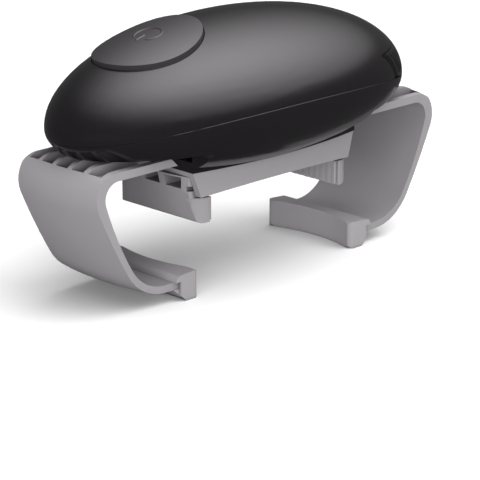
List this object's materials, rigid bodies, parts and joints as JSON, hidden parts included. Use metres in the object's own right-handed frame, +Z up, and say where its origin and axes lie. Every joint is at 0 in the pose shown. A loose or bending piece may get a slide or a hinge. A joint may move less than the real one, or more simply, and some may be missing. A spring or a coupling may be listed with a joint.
{
  "type": "electric jar opener",
  "caption": "Hand-held electric jar opener: egg-shaped body with push button, two C-shaped jar arms with rubber pads and a turning carriage with two lid jaws.",
  "frame": {"origin": "middle of the opener's footprint, level with the underside of the rubber jar pads", "axes": "+X along the body, away from the push button; +Y across the body; +Z up through the dome"},
  "size_m": [0.2306, 0.105, 0.1261],
  "materials": {
    "upper_housing": "black moulded ABS, fine satin",
    "lower_housing": "black moulded ABS, fine satin",
    "battery_tray": "black moulded ABS",
    "batteries": "wrapped cells, plain",
    "contact_springs": "nickel-plated spring steel",
    "contact_plate": "nickel-plated steel",
    "micro_switch": "black moulded switch",
    "motor": "zinc-plated motor can",
    "motor_screws": "zinc-plated screws",
    "gearbox_base": "natural POM",
    "gearbox_top": "natural POM",
    "gear_axles": "ground steel pins",
    "spindle_bush": "sintered bronze",
    "housing_screws": "blackened screws",
    "button_spring": "spring steel wire",
    "power_button": "dark grey moulded ABS, satin",
    "battery_cover": "black moulded ABS, fine satin",
    "left_jar_arm": "grey moulded ABS, fine satin",
    "left_jar_pad": "grey soft rubber",
    "right_jar_arm": "grey moulded ABS, fine satin",
    "right_jar_pad": "grey soft rubber",
    "jar_pinion": "white POM",
    "carriage": "grey moulded ABS, fine satin",
    "carriage_cover": "grey moulded ABS",
    "carriage_screws": "blackened screws",
    "lid_press_pad": "dark soft rubber",
    "drive_gear": "white POM",
    "spindle_screw": "zinc-plated screw and washer",
    "left_lid_jaw": "grey moulded ABS, fine satin",
    "left_lid_pad": "grey ribbed rubber",
    "right_lid_jaw": "grey moulded ABS, fine satin",
    "right_lid_pad": "grey ribbed rubber",
    "lid_pinion": "white POM",
    "second_gear": "white POM",
    "first_gear": "white POM",
    "motor_pinion": "brass"
  },
  "bodies": {
    "housing": {"upper_housing": "upper_housing", "lower_housing": "lower_housing", "battery_tray": "battery_tray", "batteries": "batteries", "contact_springs": "contact_springs", "contact_plate": "contact_plate", "micro_switch": "micro_switch", "motor": "motor", "motor_screws": "motor_screws", "gearbox_base": "gearbox_base", "gearbox_top": "gearbox_top", "gear_axles": "gear_axles", "spindle_bush": "spindle_bush", "housing_screws": "housing_screws", "button_spring": "button_spring"},
    "button": {"power_button": "power_button"},
    "battery_lid": {"battery_cover": "battery_cover"},
    "left_arm": {"left_jar_arm": "left_jar_arm", "left_jar_pad": "left_jar_pad"},
    "right_arm": {"right_jar_arm": "right_jar_arm", "right_jar_pad": "right_jar_pad"},
    "jar_pinion": {"jar_pinion": "jar_pinion"},
    "carriage": {"carriage": "carriage", "carriage_cover": "carriage_cover", "carriage_screws": "carriage_screws", "lid_press_pad": "lid_press_pad", "drive_gear": "drive_gear", "spindle_screw": "spindle_screw"},
    "left_jaw": {"left_lid_jaw": "left_lid_jaw", "left_lid_pad": "left_lid_pad"},
    "right_jaw": {"right_lid_jaw": "right_lid_jaw", "right_lid_pad": "right_lid_pad"},
    "lid_pinion": {"lid_pinion": "lid_pinion"},
    "second_gear": {"second_gear": "second_gear"},
    "first_gear": {"first_gear": "first_gear"},
    "motor_pinion": {"motor_pinion": "motor_pinion"}
  },
  "joints": [
    {"name": "power_button_press", "type": "slide", "parent": "housing", "child": "button", "axis": [0.2225, 0, -0.9749], "range_m": [0, 0.0025], "stiffness_N_per_m": 900, "springref_m": -0.001, "deforming": ["button_spring"]},
    {"name": "battery_cover_slide", "type": "slide", "parent": "housing", "child": "battery_lid", "axis": [1, 0, 0], "range_m": [0, 0.04]},
    {"name": "jar_arm_slide", "type": "slide", "parent": "housing", "child": "left_arm", "axis": [1, 0, 0], "range_m": [-0.006, 0.03]},
    {"name": "right_jar_arm_slide", "type": "slide", "parent": "housing", "child": "right_arm", "axis": [-1, 0, 0], "range_m": [-0.006, 0.03]},
    {"name": "jar_pinion_turn", "type": "hinge", "parent": "housing", "child": "jar_pinion", "pos_m": [0, 0, 0.068], "axis": [0, 0, -1], "range_deg": [-26, 118]},
    {"name": "carriage_turn", "type": "hinge", "parent": "housing", "child": "carriage", "pos_m": [0, 0, 0.06], "axis": [0, 0, 1], "continuous": true},
    {"name": "lid_jaw_slide", "type": "slide", "parent": "carriage", "child": "left_jaw", "axis": [1, 0, 0], "range_m": [-0.006, 0.025]},
    {"name": "right_lid_jaw_slide", "type": "slide", "parent": "carriage", "child": "right_jaw", "axis": [-1, 0, 0], "range_m": [-0.006, 0.025]},
    {"name": "lid_pinion_turn", "type": "hinge", "parent": "carriage", "child": "lid_pinion", "pos_m": [0, 0, 0.055], "axis": [0, 0, -1], "range_deg": [-36, 136]},
    {"name": "second_gear_turn", "type": "hinge", "parent": "housing", "child": "second_gear", "pos_m": [-0.03705, 0, 0.08], "axis": [0, 0, 1], "continuous": true},
    {"name": "first_gear_turn", "type": "hinge", "parent": "housing", "child": "first_gear", "pos_m": [-0.01669, 0.01425, 0.085], "axis": [0, 0, 1], "continuous": true},
    {"name": "motor_pinion_turn", "type": "hinge", "parent": "housing", "child": "motor_pinion", "pos_m": [-0.00467, 0, 0.088], "axis": [0, 0, 1], "continuous": true}
  ],
  "couplings": [
    {"joint": "right_jar_arm_slide", "follows": "jar_arm_slide", "ratio": 1},
    {"joint": "jar_pinion_turn", "follows": "jar_arm_slide", "rad_per_m": 66.667},
    {"joint": "right_lid_jaw_slide", "follows": "lid_jaw_slide", "ratio": 1},
    {"joint": "lid_pinion_turn", "follows": "lid_jaw_slide", "rad_per_m": 90.909},
    {"joint": "second_gear_turn", "follows": "carriage_turn", "ratio": -4.2857},
    {"joint": "first_gear_turn", "follows": "carriage_turn", "ratio": 17.857},
    {"joint": "motor_pinion_turn", "follows": "carriage_turn", "ratio": -74.405}
  ]
}
